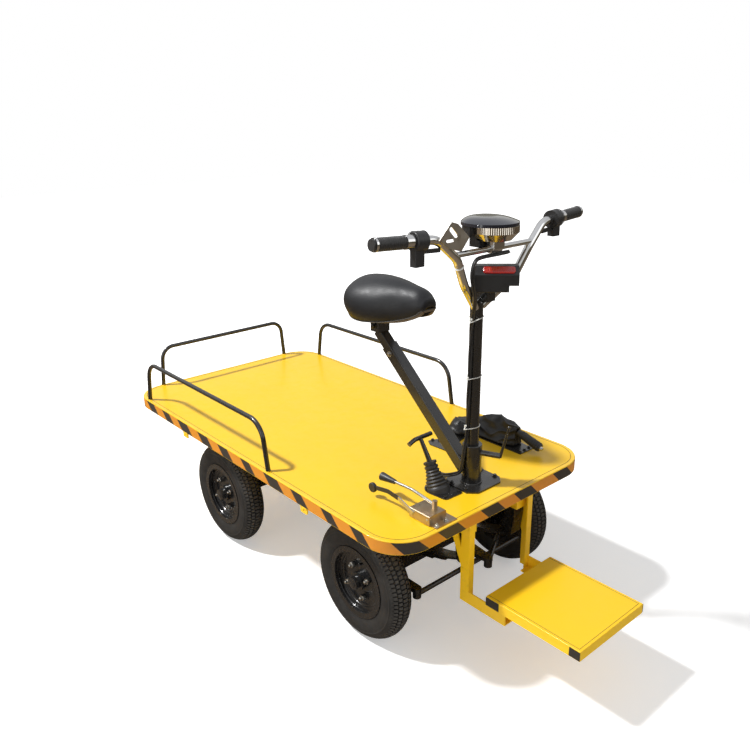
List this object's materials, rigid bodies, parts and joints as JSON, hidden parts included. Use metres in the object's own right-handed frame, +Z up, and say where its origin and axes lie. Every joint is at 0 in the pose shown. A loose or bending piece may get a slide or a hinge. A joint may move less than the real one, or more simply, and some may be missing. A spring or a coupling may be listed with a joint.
{
  "type": "electric platform cart",
  "caption": "Four-wheel electric platform cart with a flat deck, low tube rails, steering column with handlebar, saddle and fold-out foot tray.",
  "frame": {"origin": "on the ground below the middle of the cart's whole length and width", "axes": "+X forward towards the foot tray, +Y to the rider's left, +Z up"},
  "size_m": [1.988, 0.865, 1.2739],
  "materials": {
    "black_gloss": "gloss",
    "black_plastic": "matte",
    "black_steel": "gloss",
    "bright_rod": "satin",
    "cable_black": "satin",
    "chrome": "mirror",
    "clear_lens": "gloss",
    "grey_casting": "satin",
    "red_lens": "gloss",
    "rubber": "matte",
    "tyre": "matte",
    "vinyl": "gloss",
    "wheel_black": "gloss",
    "yellow_paint": "gloss",
    "yellow_sheet": "gloss",
    "zinc_plate": "satin"
  },
  "bodies": {
    "root": {"battery_box": "black_steel", "cable_control": "zinc_plate", "column_base": "black_steel", "control_levers": "bright_rod", "cross_members": "yellow_paint", "deck_loom": "cable_black", "deck_plate": "yellow_sheet", "deck_rim": "yellow_paint", "drive_motor": "grey_casting", "foot_frame": "yellow_paint", "foot_tray": "yellow_sheet", "front_axle": "black_steel", "gear_base": "black_steel", "gear_boot": "rubber", "gear_lever": "black_steel", "handbrake_base": "black_steel", "handbrake_boot": "vinyl", "handbrake_grip": "black_plastic", "hoop_left": "black_steel", "hoop_rear": "black_steel", "hoop_right": "black_steel", "leaf_springs": "black_steel", "rear_axle": "black_steel", "saddle": "vinyl", "seat_post": "black_steel", "seat_strut": "black_steel", "underframe": "yellow_paint"},
    "steering": {"steering_column": "black_steel", "handlebar": "chrome", "alarm_mount": "black_steel", "bar_bracket": "chrome", "lamp_housing": "black_plastic", "grips": "rubber", "control_pods": "black_plastic", "lamp_cover": "black_gloss", "lamp_lens": "clear_lens", "lamp_bracket": "chrome", "alarm_box": "black_plastic", "alarm_lens": "red_lens", "column_loom": "cable_black"},
    "drag_link": {"drag_link": "black_steel"},
    "tie_rod": {"tie_rod": "black_steel"},
    "knuckle_left": {"knuckle_left": "black_steel"},
    "knuckle_right": {"knuckle_right": "black_steel"},
    "wheel_front_left": {"rim_front_left": "wheel_black", "tyre_front_left": "tyre"},
    "wheel_front_right": {"rim_front_right": "wheel_black", "tyre_front_right": "tyre"},
    "wheel_rear_left": {"rim_rear_left": "wheel_black", "tyre_rear_left": "tyre"},
    "wheel_rear_right": {"rim_rear_right": "wheel_black", "tyre_rear_right": "tyre"}
  },
  "joints": [
    {"name": "steering_turn", "type": "hinge", "parent": "root", "child": "steering", "pos_m": [0.474, 0, 0.458], "axis": [0, 0, 1], "range_deg": [-35, 35]},
    {"name": "drag_link_pivot", "type": "hinge", "parent": "steering", "child": "drag_link", "pos_m": [0.554, 0, 0.19], "axis": [0, 0, 1], "range_deg": [-35, 35]},
    {"name": "knuckle_left_turn", "type": "hinge", "parent": "root", "child": "knuckle_left", "pos_m": [0.335, 0.24, 0.19], "axis": [0, 0, 1], "range_deg": [-35, 35]},
    {"name": "knuckle_right_turn", "type": "hinge", "parent": "root", "child": "knuckle_right", "pos_m": [0.335, -0.24, 0.19], "axis": [0, 0, 1], "range_deg": [-35, 35]},
    {"name": "tie_rod_pivot", "type": "hinge", "parent": "knuckle_left", "child": "tie_rod", "pos_m": [0.486, 0.24, 0.19], "axis": [0, 0, 1], "range_deg": [-35, 35]},
    {"name": "spin_front_left", "type": "hinge", "parent": "knuckle_left", "child": "wheel_front_left", "pos_m": [0.335, 0.32, 0.19], "axis": [0, 1, 0], "continuous": true},
    {"name": "spin_front_right", "type": "hinge", "parent": "knuckle_right", "child": "wheel_front_right", "pos_m": [0.335, -0.32, 0.19], "axis": [0, 1, 0], "continuous": true},
    {"name": "spin_rear_left", "type": "hinge", "parent": "root", "child": "wheel_rear_left", "pos_m": [-0.428, 0.336, 0.19], "axis": [0, 1, 0], "continuous": true},
    {"name": "spin_rear_right", "type": "hinge", "parent": "root", "child": "wheel_rear_right", "pos_m": [-0.428, -0.336, 0.19], "axis": [0, 1, 0], "continuous": true}
  ],
  "couplings": [
    {"joint": "drag_link_pivot", "follows": "steering_turn", "ratio": -1},
    {"joint": "knuckle_left_turn", "follows": "steering_turn", "ratio": 1},
    {"joint": "knuckle_right_turn", "follows": "steering_turn", "ratio": 1},
    {"joint": "tie_rod_pivot", "follows": "steering_turn", "ratio": -1}
  ]
}
